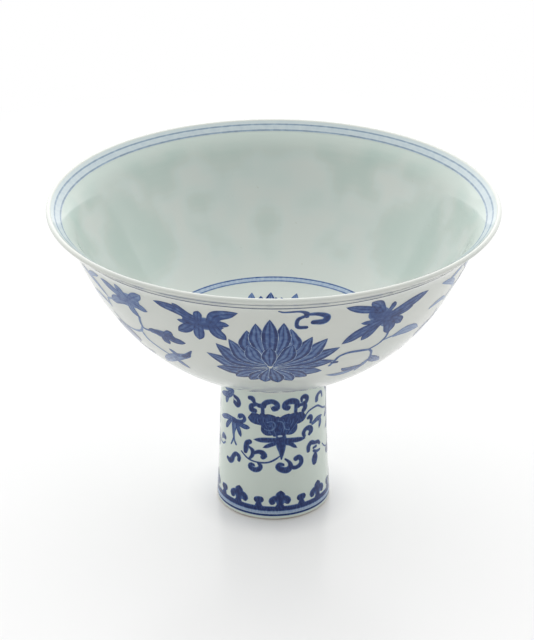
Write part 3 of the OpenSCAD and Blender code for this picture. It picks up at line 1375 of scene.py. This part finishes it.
class LotusScroll:
    """Lotus scroll on the outside of the bowl: degrees from the front, and millimetres up the wall."""

    REPEATS = 3
    ASIDE = -1.2
    # Petals of a lotus seen from the side, back ones first: root, bend, tip and half width
    FAN = (
        ((-1, 49), (-11, 49.5), (-20, 55.5), 2.7),
        ((1, 49), (11, 50), (21, 51), 2.6),
        ((1.5, 49.5), (12, 53.5), (21.3, 58.8), 2.8),
        ((-1.5, 48.5), (-11, 46), (-18.5, 47), 2.6),
        ((1.5, 48.5), (10, 46), (18, 44.6), 2.6),
        ((-1.5, 48), (-8, 44.5), (-12.5, 40.8), 2.5),
        ((1.5, 48), (8, 44.5), (13, 41.3), 2.5),
        ((-0.8, 48), (-4.5, 43.2), (-7.5, 38.8), 2.3),
        ((1, 48), (5, 43.2), (8, 38.2), 2.3),
        ((-0.3, 48), (-1.6, 42.5), (-2.2, 37.4), 2.3),
        ((0.4, 48), (2, 42.5), (2.8, 36.9), 2.3),
        ((-1.5, 50), (-10, 52.8), (-16, 61.8), 2.9),
        ((1.5, 50), (11.2, 56), (16.6, 64.8), 2.8),
        ((-1.5, 50.5), (-8, 55), (-11.8, 65), 2.4),
        ((1.5, 50.5), (8.5, 57), (12, 66.5), 2.5),
        ((-1.2, 53), (-6.3, 61.5), (-6.3, 70.2), 2.5),
        ((1.2, 53), (6.5, 62), (5.8, 71.2), 2.5),
        ((-0.8, 54), (-3.6, 64.5), (-3.8, 73.8), 2.3),
        ((0.8, 54), (3.6, 64.5), (3.8, 74.2), 2.3),
        ((0, 53), (0, 65.5), (0, 75.8), 2.5),
        ((-0.8, 51.5), (-4.6, 55.5), (-6.4, 62.5), 2.5),
        ((0.8, 51.5), (4.8, 55.5), (6.6, 63), 2.5),
        ((0, 50.5), (-0.3, 55.5), (0, 61.5), 2.3),
    )
    # Forked tendril beside the top of a lotus
    CURL = (
        line(0.85, (1.2, 80.4, 0.3), (2.6, 79.7, 0.45), (6.6, 79.9, 0.6), (8.4, 78.6, 0.9), (8.5, 77, 0.8)),
        line(0.88, (8.4, 77.9, 0.6), (11.4, 77.8, 0.85), (14, 76.2, 1.1), (13.4, 73.9, 1.25),
             (10.6, 73.9, 1)),
        line(0.9, (8.4, 77.3, 0.6), (6.4, 75.8, 0.65), (6, 73.2, 0.6), (6.6, 71.8, 0.75), (8.6, 71.6, 0.7)),
    )
    # Lobed leaves to the right of the lotus, to its left, to its far left, and a small one below that
    LEAVES = (
        LobedLeaf(
            ((29, 73.4, 3.2), (34.2, 68.2, 3.3)),
            (
                (28.6, 75, 24.2, 76.7, 18.8, 79.4, 1.6),
                (30.2, 74.6, 28.6, 77.6, 26, 80, 1.8),
                (33, 73, 33.8, 75, 33.7, 77, 1),
                (34.4, 70.6, 39.6, 73.1, 46.4, 76, 2.2),
                (34.6, 69.4, 38, 70.4, 42, 71.2, 1.4),
                (30.4, 69.8, 27.6, 69.4, 24.6, 69.8, 0.9),
                (30.6, 67.8, 25.6, 65.1, 20.3, 60.4, 2.2),
                (30.2, 66.6, 28.6, 63.8, 26.6, 60.4, 1.7),
                (34, 67.6, 35.4, 64.4, 36, 60.6, 2.2),
                (35.6, 68, 38, 66.6, 39.6, 64.2, 1.6),
            ),
        ),
        LobedLeaf(
            ((-23.2, 71.2, 3), (-16.6, 71.4, 2.9)),
            (
                (-22.5, 73.2, -27.6, 75.9, -33.8, 77.4, 1.8),
                (-23.6, 74.2, -26, 76.4, -27.6, 78.9, 1.3),
                (-24, 70.8, -25.6, 70.6, -27.6, 70.8, 0.8),
                (-23.6, 69.4, -25.2, 67.6, -28.4, 64.8, 1.9),
                (-21.2, 69.6, -21.6, 66.4, -22.2, 62.4, 1.8),
                (-21, 73, -20.8, 75, -20.3, 77.2, 1.4),
                (-17.2, 72.6, -15.6, 75.9, -9.4, 78.5, 2.2),
                (-17, 70.4, -16.2, 67.6, -13.7, 64.2, 2),
                (-16.4, 72, -14.4, 72.2, -12.2, 71.8, 1.1),
            ),
        ),
        LobedLeaf(
            ((-46.2, 72.4, 3.2), (-42.4, 73, 3)),
            (
                (-42.6, 74, -40.8, 75.6, -38, 77.8, 1.8),
                (-42.6, 72, -40.6, 71.4, -37.6, 70.2, 1.5),
                (-45.4, 74.4, -46.6, 76.2, -47.6, 78.4, 1.4),
                (-47, 73.4, -50.4, 75, -54.6, 77, 1.6),
                (-46.6, 71, -50, 70, -53.6, 67.6, 1.8),
                (-44, 70.4, -44, 68.2, -42.6, 65.4, 1.5),
            ),
            # Paler ink on this far-side leaf: partly the cobalt's own variation, partly painted highlight
            # for the glare at the cup's sides
            0.7,
        ),
        LobedLeaf(
            ((-36.6, 59.9, 1.9), (-33, 59.9, 2.2)),
            (
                (-34, 60.6, -32.6, 61.8, -31.4, 63, 1.3),
                (-33.4, 59, -31.6, 58.5, -27.6, 58.4, 1.6),
                (-35, 58.8, -35.2, 57, -34.4, 55, 1.4),
                (-36.6, 60, -38.6, 60.1, -41.2, 59.5, 1.2),
            ),
        ),
    )
    # Single leaves at the ends of the vines
    BLADES = (
        line(0.88, (-26.8, 54.2, 0.2), (-28.4, 51.9, 0.7), (-29.4, 50.4, 1.1), (-31.4, 48.9, 1)),
        blade(0.6, (-30.4, 49.6, 1.2), (-34, 47.6, 1.8), (-38, 44.8, 2), (-42, 41.4, 1.5), (-46, 37.2, 0)),
        leaf((-33.6, 48.4, 0.9), (-34.8, 49.6, 0.9), (-36.2, 51.6), 0.8),
        leaf((-36, 45.4, 0.9), (-35, 42.6, 1.1), (-33, 39.2), 0.75),
        blade(0.75, (34.6, 47.4, 0.6), (36.4, 45.2, 1.5), (39.4, 42.8, 1.4), (43, 40, 0)),
        blade(0.72, (34.4, 45.4, 0.7), (33.4, 42.6, 1.1), (32.6, 40.6, 0.9), (32.2, 37.6, 0)),
        blade(0.9, (33.2, 42, 0.9), (29.6, 41.6, 1.4), (26.6, 42, 1.2), (24.4, 43.6, 0)),
        blade(0.62, (31.6, 40.6, 0.9), (27.6, 39, 1.3), (23.6, 38.9, 1.1), (19.2, 40.2, 0)),
        # Paler ink on these far-side blades: partly the cobalt's own variation, partly painted highlight for
        # the glare at the cup's sides
        blade(0.54, (40.2, 57.3, 0.9), (43.6, 58, 2), (48, 57, 2), (53, 54.6, 0)),
        blade(0.5, (52.6, 64.2, 0.4), (55.6, 65.2, 1.1), (59.6, 65, 1), (63.4, 62.6, 0)),
        blade(0.5, (53, 75.6, 0.3), (56.4, 74.4, 1.1), (60.6, 72, 1.2), (64, 68.4, 0.4)),
        leaf((57, 74, 0.8), (60.4, 76.2, 1), (64.6, 77.6), 0.5),
    )
    # Closed bud on its stalk, half way to the next lotus
    BUD = (
        line(0.75, (62, 36, 0.5), (63.6, 40.6, 0.45), (62.4, 45, 0.5)),
        petal((62.4, 45, 0.9), (58.2, 48.6, 1.7), (59.4, 54.6), 0.8),
        petal((62.4, 45, 0.9), (66.2, 48.6, 1.7), (65.2, 54.6), 0.86),
        petal((62.4, 45, 0.9), (62.2, 49.4, 1.9), (62.4, 56.4), 0.9),
        leaf((62.8, 41, 0.6), (66.6, 40, 1.1), (70.4, 41.6), 0.75),
        leaf((63, 39, 0.6), (59.4, 38, 1.1), (55.6, 39.4), 0.75),
    )
    # Thin stems that join the leaves and flowers
    VINES = (
        line(0.7, (36, 61.4, 0.45), (36.2, 58.6, 0.42), (34.8, 55.6, 0.42), (32.6, 54, 0.42),
             (31.4, 53.4, 0.45)),
        line(0.66, (31.6, 53.2, 0.5), (28, 54, 0.62), (24, 54.4, 0.56), (21.2, 53.2, 0.5),
             (20, 50.8, 0.45), (18.8, 47.6, 0.45)),
        line(0.85, (21, 49.4, 0.6), (19.6, 49.6, 0.8)),
        line(0.62, (31.6, 53.4, 0.42), (33.2, 51.4, 0.42), (34, 49, 0.4), (34.8, 46.8, 0.42)),
        line(0.45, (41, 57.4, 0.4), (38.4, 57.2, 0.4), (35.6, 56.8, 0.4)),
        line(0.55, (-40.6, 59.5, 0.4), (-43.2, 59.6, 0.45), (-43.2, 62.6, 0.5), (-42.4, 65.6, 0.5)),
        line(0.42, (-43.6, 59.8, 0.4), (-46, 56.6, 0.5), (-51, 54.6, 0.45), (-56.4, 55.4, 0.4),
             (-58.8, 59, 0.3)),
        line(0.38, (-45.4, 56.8, 0.4), (-44.8, 52.6, 0.5), (-41.8, 49.4, 0.45), (-38, 46.6, 0.4)),
        line(0.42, (-57.4, 62.6, 0.3), (-56.6, 66.6, 0.4), (-53.6, 68.4, 0.4)),
    )

    def lotus(self) -> list[Stroke]:
        """The lotus, with ink that varies from petal to petal."""
        inks = (0.88 + 0.05 * (5 * k % 4) for k in range(len(self.FAN)))
        return [petal((*a, 0.5), (*b, half), tip, ink) for (a, b, tip, half), ink in zip(self.FAN, inks)]

    def strokes(self) -> list[Stroke]:
        """All the strokes of one repeat, in the order they are painted.

        Returns:
            The vines, the leaves over them, and the lotus on top.
        """
        leaves = [stroke for lobed in self.LEAVES for stroke in lobed.strokes()]
        lotus = [stroke.moved(self.ASIDE) for stroke in self.lotus()]
        return [*self.VINES, *leaves, *self.BLADES, *self.BUD, *self.CURL, *lotus]


class StemSprigs:
    """Lotus sprigs and curling sprays round the stem: degrees from the front, and millimetres up."""

    REPEATS = 2
    # The two scrolls over the bloom
    SCROLLS = (
        line(0.95, (-26.4, 46.8, 0.75), (-23.4, 46.7, 0.95), (-21.4, 45.6, 0.6)),
        line(0.92, (-20, 44.5, 0.55), (-24.2, 43.9, 0.85), (-24.2, 42.4, 1), (-20.6, 42.1, 0.9)),
        line(0.88, (-21.4, 45.2, 0.5), (-16, 44.4, 0.75), (-11, 44.4, 1)),
        line(0.9, (-11.5, 44.6, 0.9), (-7.4, 45.9, 0.95), (-1, 46.3, 0.85), (3.4, 45.3, 0.9),
             (4, 43.8, 0.9), (0.8, 43.5, 1.05)),
        line(0.9, (-11.8, 44, 0.6), (-11.6, 41.6, 0.6)),
        line(0.92, (15, 43.5, 1.05), (12, 44, 1), (13.4, 45.4, 1), (19.6, 45.9, 1.15), (25.4, 45.2, 1),
             (27.4, 43.5, 0.8)),
        line(0.9, (24.8, 44.4, 0.6), (24.2, 41.4, 0.6)),
        line(0.9, (27.4, 43.8, 0.6), (32, 43.7, 0.6)),
        line(0.92, (31.6, 45.2, 0.45), (32, 46.3, 0.65), (35.4, 46.6, 0.85), (38.6, 45.7, 0.85),
             (37.6, 44.3, 0.75), (34.4, 43.9, 0.8)),
        line(0.96, (35.4, 43.6, 0.8), (36.2, 42.3, 0.9), (34.4, 41.4, 0.85)),
    )
    # Petals of the bloom: root, bend, tip and half width
    PETALS = (
        ((0, 37.4), (-19, 39), (-28.6, 38.8), 1.9),
        ((12, 37.4), (27, 38.7), (37.6, 38.6), 1.9),
        ((1, 34.2), (-6.6, 34.7), (-12.6, 37), 1.6),
        ((12, 34.2), (19, 34.7), (25.6, 37), 1.6),
        ((-1, 34.4), (-9.6, 38.6), (-13.6, 41.3), 2.1),
        ((14, 34.2), (20.6, 38.6), (24.6, 41.1), 2.1),
        ((2, 33.4), (-3, 38.4), (-6.4, 41.3), 2.2),
        ((10, 33.4), (14, 38.4), (16.8, 41.2), 2.2),
        ((6, 33), (5.6, 36.8), (4.8, 40.4), 1.9),
    )
    # Pale lines in the bloom, and the leaves and stalk below it
    ON_BLOOM = (
        lifted(0.5, (-9.6, 35.2, 0.2), (-4, 34.9, 0.3), (0.6, 35.6, 0.3), (1.4, 37.4, 0.25),
               (-1.6, 38.4, 0.25), (-7, 38, 0.2)),
        lifted(0.55, (-6.4, 36.8, 0.15), (-2.6, 36.6, 0.2), (-2.2, 37.3, 0.15)),
        lifted(0.5, (5, 38.6, 0.2), (9.6, 38, 0.25), (11, 36.4, 0.3), (13, 35.2, 0.25), (17, 34.9, 0.2)),
        lifted(0.6, (13.6, 37.8, 0.15), (17.6, 37.4, 0.2), (18.6, 38.4, 0.15)),
        line(0.95, (8, 31.6, 1.9), (8, 29, 1.7), (8.6, 26.4, 1), (8.2, 23.4, 0.2)),
        spear((5, 31.2, 0.8), (-8, 31, 0.95), (-22, 30.7), 0.92),
        spear((9, 31, 0.8), (22, 30.4, 0.95), (36.6, 30), 0.92),
        spear((5, 30.2, 0.7), (-3, 29.2, 0.75), (-11.6, 27.9), 0.9),
        spear((10, 30, 0.7), (18, 29.2, 0.75), (26, 27), 0.9),
        lifted(0.12, (6, 32.6, 0.5), (7.8, 32.6, 0.5)),
    )
    # The tendril and the rolled leaves below the bloom
    CURLS = (
        line(0.85, (6.6, 24.7, 0.2), (2, 23.5, 0.32), (-5, 22.3, 0.3), (-13, 21.9, 0.28),
             (-22, 22.1, 0.26), (-29, 22.9, 0.28), (-36, 24.8, 0.25)),
        line(0.95, (-26, 29.5, 0.85), (-29.4, 28.6, 0.95), (-30.4, 26.6, 1), (-31, 25.2, 0.7)),
        line(0.92, (-26.4, 27.4, 0.35), (-22.6, 26.2, 0.75), (-22.8, 24.4, 0.65), (-26.2, 22.7, 0.4)),
        line(0.95, (-21, 25.3, 0.5), (-16.2, 26.1, 0.75), (-11.6, 25.8, 1), (-9.8, 24.7, 1.05),
             (-11.4, 24.1, 0.8)),
        line(0.92, (-15.8, 21.6, 0.5), (-13.6, 20.5, 0.75), (-15.8, 19.2, 0.9), (-20.6, 18.8, 0.95),
             (-25, 19.6, 0.9), (-24.2, 20.8, 0.6), (-21.4, 20.6, 0.5)),
        line(0.95, (12.4, 23.4, 0.3), (16.6, 22, 0.55), (18, 20.3, 0.95), (14.8, 19, 1.2),
             (9.4, 19.2, 1.15), (5, 20.3, 1.05), (6.4, 21.4, 0.8), (10, 21.2, 0.5)),
        line(0.92, (18.4, 19.9, 0.7), (24, 19.4, 0.75), (29.4, 20.3, 0.85), (30.4, 22, 0.85),
             (27.4, 23.3, 0.9), (24.2, 22.9, 0.95)),
    )
    # Buds and curls to the right of the bloom
    RIGHT = (
        line(0.8, (36.4, 38.8, 0.2), (41, 40.1, 0.3), (48, 40.6, 0.3), (55, 40.5, 0.35), (60, 39.6, 0.3),
             (67, 38, 0.3), (76, 36.6, 0.3), (84, 33.4, 0.25)),
        line(0.82, (54, 42.9, 0.9), (54.6, 44.2, 0.9), (59, 45.1, 0.6), (63.6, 44.6, 0.5),
             (65.6, 42.8, 0.4)),
        line(0.92, (40, 37.5, 0.55), (42.8, 37.8, 0.85), (44.8, 36.8, 0.8), (43.6, 35.4, 0.5)),
        line(0.5, (43.6, 35.4, 0.35), (47, 34.6, 0.4)),
        leaf((46.4, 34.6, 0.5), (54, 35.3, 0.85), (65, 35.4)),
        leaf((58, 35.4, 0.6), (60.4, 33.6, 0.75), (57.8, 31)),
        line(0.92, (34.8, 30.9, 0.6), (33.8, 32.3, 0.75), (37.2, 33.6, 0.8), (42, 33.4, 1),
             (44.4, 32.1, 1), (41.6, 31, 0.6)),
        line(0.92, (39.8, 24.5, 0.75), (40.4, 26.2, 0.9), (44, 27.2, 0.9), (49.4, 26.5, 0.65),
             (55, 26.1, 0.7), (58.2, 25, 0.5)),
        line(0.85, (47.4, 24.7, 0.45), (51.6, 24.8, 0.5)),
        line(0.85, (47.6, 23.5, 0.5), (52, 22.7, 0.55), (58, 22.6, 0.4)),
        line(0.92, (50.2, 22.4, 0.6), (49.2, 20.6, 1.5), (48.6, 19, 1.2)),
    )
    # Leafy spray to the left of the bloom
    LEFT = (
        blade(0.86, (-49.4, 47.2, 0.6), (-52, 46, 1), (-58, 44.6, 1.15), (-69, 43.4, 0.8), (-77, 42.4, 0)),
        leaf((-57, 44.8, 0.8), (-60, 43.4, 1), (-62.6, 40.6)),
        leaf((-50, 47, 0.5), (-57, 47, 0.7), (-65, 46.2), 0.75),
        line(0.94, (-47, 45.3, 0.6), (-42.4, 44.8, 0.8), (-40.2, 43.5, 0.9), (-42.6, 42.4, 1),
             (-46.2, 42.9, 0.85)),
        leaf((-46, 35.8, 0.9), (-58, 35.7, 0.9), (-76, 33.4)),
        leaf((-53, 35, 0.6), (-58, 33, 0.8), (-62, 30.8), 0.92),
        blade(0.85, (-46.6, 35.6, 1.2), (-47, 33.4, 1.15), (-47.8, 31, 0.6), (-47, 28.6, 0.35)),
        leaf((-42.4, 34.6, 0.6), (-40.4, 33, 0.8), (-36.8, 30.2), 0.94),
        leaf((-40, 35.2, 0.7), (-33, 34.9, 0.85), (-25.8, 34.9), 0.95),
        line(0.85, (-47, 35.6, 0.9), (-40, 36, 0.8), (-35, 36.7, 0.65), (-32.6, 37.8, 0.7),
             (-35, 39, 0.7), (-38.8, 38.4, 0.9)),
        line(0.7, (-47, 29, 0.35), (-49, 27.4, 0.32), (-51.4, 25.8, 0.25)),
        line(0.7, (-46.8, 29, 0.35), (-46, 27.8, 0.35), (-43.6, 26.6, 0.4)),
        line(0.92, (-39.4, 20.8, 0.65), (-39, 22.2, 0.8), (-43, 22.9, 0.8), (-46.8, 21.7, 0.8),
             (-49.2, 19.9, 1.05), (-52.6, 19, 1), (-56.4, 19.4, 0.75)),
        line(0.8, (-63.6, 26.6, 0.9), (-67.4, 26.8, 1.05), (-70.6, 25.6, 0.6)),
        line(0.7, (-62.6, 24.8, 0.3), (-68, 23.5, 0.3), (-76, 24, 0.25), (-83, 27, 0.2)),
    )
    BUD_ROOT = (86, 33, 0.6)
    # Open bud half way to the next bloom: bend, tip and half width
    BUD = (
        ((84, 36.4), (84, 41), 1.2),
        ((91, 36), (97, 38.6), 1),
        ((78, 34.6), (71, 33.6), 0.9),
        ((82, 30.2), (74, 28.4), 0.9),
        ((91, 30.4), (98, 29.4), 0.95),
    )
    # Curls round that bud
    BACK = (
        line(0.8, (86.4, 32.6, 0.3), (87.4, 28, 0.3), (85, 23.6, 0.3), (78, 21.2, 0.3), (70, 22, 0.25),
             (64, 24, 0.2)),
        line(0.92, (78, 21.2, 0.4), (75.4, 19.6, 0.8), (79, 18.7, 0.9), (83.4, 19.4, 0.85),
             (82.2, 20.7, 0.6)),
        line(0.92, (84.6, 24, 0.35), (92, 21.6, 0.6), (97.6, 21.2, 0.9), (98, 22.8, 0.9), (95, 23.3, 0.6)),
        line(0.92, (84, 41, 0.35), (80, 43.6, 0.6), (76.4, 45.4, 0.9), (79.6, 46.6, 0.9),
             (82.4, 45.5, 0.6)),
        line(0.92, (85, 41.4, 0.35), (90, 43.8, 0.6), (95, 45.2, 0.9), (92, 46.6, 0.9), (88.8, 45.8, 0.6)),
    )

    def bloom(self) -> list[Stroke]:
        """The broad dark bloom, with ink that varies from petal to petal.

        Returns:
            Its petals, and then the pale lines in it and what hangs below it.
        """
        petals = [
            Stroke(swell((*root, 0.9), (*bend, half), tip), 0.9 + 0.04 * (k % 3), Laid.SOLID, 0.3, 0.55)
            for k, (root, bend, tip, half) in enumerate(self.PETALS)
        ]
        return [*petals, *self.ON_BLOOM]

    def strokes(self) -> list[Stroke]:
        """All the strokes of one repeat, in the order they are painted.

        Returns:
            The sprays, the scrolls and curls, and the bloom on top.
        """
        bud = [leaf(self.BUD_ROOT, (*bend, half), tip) for bend, tip, half in self.BUD]
        sprays = [*self.RIGHT, *self.LEFT, *bud, *self.BACK]
        return [*sprays, *self.SCROLLS, *self.CURLS, *self.bloom()]


class FootBorder:
    """Trefoil heads and buds that stand on a band round the foot: degrees, and millimetres up."""

    REPEATS = 8
    SPAN = 47.0
    BANDS = (Band(2.3, 0.6, 0.19), Band(1.2, 0.34, 0.97), Band(3.72, 0.92, 0.97))
    # One trefoil and one bud
    HEADS = (
        line(0.97, (6.6, 4.7, 1.6), (6.7, 5.5, 1.05), (6.9, 7.2, 1.2)),
        spear((7, 6.6, 1.5), (7.1, 8.5, 1.75), (7.5, 11), 0.93),
        line(0.94, (6, 7.8, 1), (1.8, 7.8, 1.15), (-1.4, 7, 1.2), (-1.2, 6.4, 1.05)),
        line(0.94, (8, 7.8, 1), (12.2, 7.8, 1.15), (14.8, 7, 1.15), (14.4, 6.4, 1)),
        line(0.97, (-15.3, 4.6, 1.45), (-15.3, 5.5, 0.95), (-15.2, 6.6, 0.95)),
        line(0.94, (-16.9, 7.1, 1.2), (-13.5, 7.2, 1.2)),
    )

    def strokes(self) -> list[Stroke]:
        """One repeat: its length of the bands, and the heads on them."""
        return [*(band.stroke(self.SPAN) for band in self.BANDS), *self.HEADS]


class WellMedallion:
    """Lotus with scrolling leaves in the well: millimetres right and back of the middle."""

    # Lobes of a leaf: bend, tip and half width
    LOBES = (
        ((4, 0), (9.4, 0), 1.5),
        ((3, 2), (6.6, 4.6), 1.3),
        ((3, -2), (6.6, -4.6), 1.3),
        ((0.8, 3), (1, 6.4), 1.2),
        ((0.8, -3), (1, -6.4), 1.2),
    )
    # The right side, which the left side mirrors: a vine, its curl, and leaves with a direction and a size
    VINE = ((2, -9), (9, -15), (19, -14.5), (25.5, -5), (24.5, 7), (18, 16), (9, 21.5))
    CURL = ((25.4, -4, 0.4), (20.6, -2.4, 0.5), (19, 2, 0.7), (21.2, 3.2, 0.6))
    LEAVES = ((14, -16.4, -70, 1.25), (24, -9.6, -24, 1.25), (25.6, 3, 10, 1.1), (20.4, 13.6, 40, 1.25))
    # Petals of the bud at the back: place of the bend, tip and half width
    BUD = ((-4.4, -4.8, 33.4, 1.9), (1.2, 1, 33, 1.9), (-1.6, -0.9, 35.2, 2.2))

    def spray(self, across: float, up: float, turn: float, size: float, ink: float) -> list[Stroke]:
        """A five-lobed leaf.

        Args:
            across: Place of its root to the right.
            up: Place of its root to the back.
            turn: Degrees that its middle lobe points to.
            size: Its size.
            ink: How dark it is.

        Returns:
            Its strokes.
        """
        made = [line(0.7 * ink, (-0.6, 0, 1.3), (1.6, 0, 1.5))]
        made += [leaf((0, 0, 1), (*bend, half), tip, ink) for bend, tip, half in self.LOBES]
        return [s.moved(across, up, size, turn) for s in made]

    def strokes(self) -> list[Stroke]:
        """The lotus, its vines and its leaves.

        Returns:
            The vines and leaves of both sides, the bud at the back, and the lotus on top.
        """
        made: list[Stroke] = []
        for side in (-1.0, 1.0):
            made.append(line(0.8, *((side * x, y, 0.5) for x, y in self.VINE)))
            for x, y, turn, size in self.LEAVES:
                made += self.spray(side * x, y, turn if side > 0 else 180.0 - turn, size, 0.86)
            made.append(line(0.85, *((side * x, y, w) for x, y, w in self.CURL)))
        made += [*self.spray(-8.6, 23.8, 88, 1.15, 0.66), *self.spray(5.4, 24, 70, 1.15, 0.64)]
        made += [petal((-1.6, 22.6, 0.9), (bend, 27.6, half), (x, y), 0.95) for bend, x, y, half in self.BUD]
        made.append(line(0.8, (-8, 22.4, 0.5), (-3, 21.8, 0.9), (3, 22, 0.9), (8, 22.4, 0.5)))
        made += self.spray(0, -20.6, -90, 1.25, 0.86)
        made.append(line(0.8, (0, -9, 0.6), (0.4, -14, 0.5), (0, -20, 0.5)))
        return [*made, *(s.moved(0.0, -33.6, 0.66) for s in LotusScroll().lotus())]


def build_cup() -> list[Object]:
    """Builds the porcelain and its paintings in order.

    Returns:
        The finished pieces.
    """
    tree = TurnTree()
    glaze = PorcelainGlaze().material("bowl_glaze")
    # The stem's glaze is greener than the bowl's, and lighter to make up for the shade that the bowl casts
    # on the stem: partly painted light
    stem_glaze = PorcelainGlaze(pale=(0.670, 0.745, 0.685, 1.0), deep=(0.650, 0.725, 0.665, 1.0))
    green_and_lit_stem_glaze = stem_glaze.material("stem_glaze")
    biscuit = BareBiscuit().material("bare_biscuit")
    cobalt = CobaltPainting().material("cobalt_painting")
    smoky = CobaltPainting(
        wash=(0.450, 0.500, 0.530, 1.0),
        thin=(0.215, 0.255, 0.320, 1.0),
        cobalt=(0.080, 0.110, 0.170, 1.0),
    ).material("smoky_lip_lines")
    misty = CobaltPainting(
        wash=(0.360, 0.500, 0.650, 1.0),
        thin=(0.170, 0.220, 0.270, 1.0),
    ).material("misty_lip_lines")
    bowl, stem = Bowl(), Stem()
    outside, inside, shaft = Chart(bowl.outside()), Chart(bowl.inside()), Chart(stem.face())
    well = WellChart(bowl.inside())
    scroll = Painting("bowl_lotus_scroll", outside, LotusScroll().strokes(), LotusScroll.REPEATS)
    sprigs = Painting("stem_lotus_sprigs", shaft, StemSprigs().strokes(), StemSprigs.REPEATS, 0.4)
    border = Painting("foot_border", shaft, FootBorder().strokes(), FootBorder.REPEATS, 0.4, True)
    medallion = Painting("well_medallion", well, WellMedallion().strokes(), 1)
    pieces = [bowl.build(tree, glaze, scroll), stem.build(tree, green_and_lit_stem_glaze, biscuit)]
    pieces.append(LutingRing().build(tree, glaze))
    for painting, finish, slot in (
        (scroll, cobalt, "bowl_porcelain"),
        (sprigs, cobalt, "stem_porcelain"),
        (border, cobalt, "stem_porcelain"),
        (medallion, cobalt, "bowl_porcelain"),
        (OUTER_LINES.painting(outside), smoky, "bowl_porcelain"),
        (INNER_LINES.painting(inside), misty, "bowl_porcelain"),
        (WELL_RINGS.painting(inside), cobalt, "bowl_porcelain"),
    ):
        pieces.append(painting.build(tree, finish, slot))
    return pieces


def main() -> None:
    """Loads the frame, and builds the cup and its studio."""
    logging.basicConfig(level=logging.INFO, format="%(name)s %(message)s")
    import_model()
    Studio().build()
    for piece in build_cup():
        LOG.info("%s: %d faces", piece.name, len(piece.data.polygons))


if __name__ == "__main__":
    main()
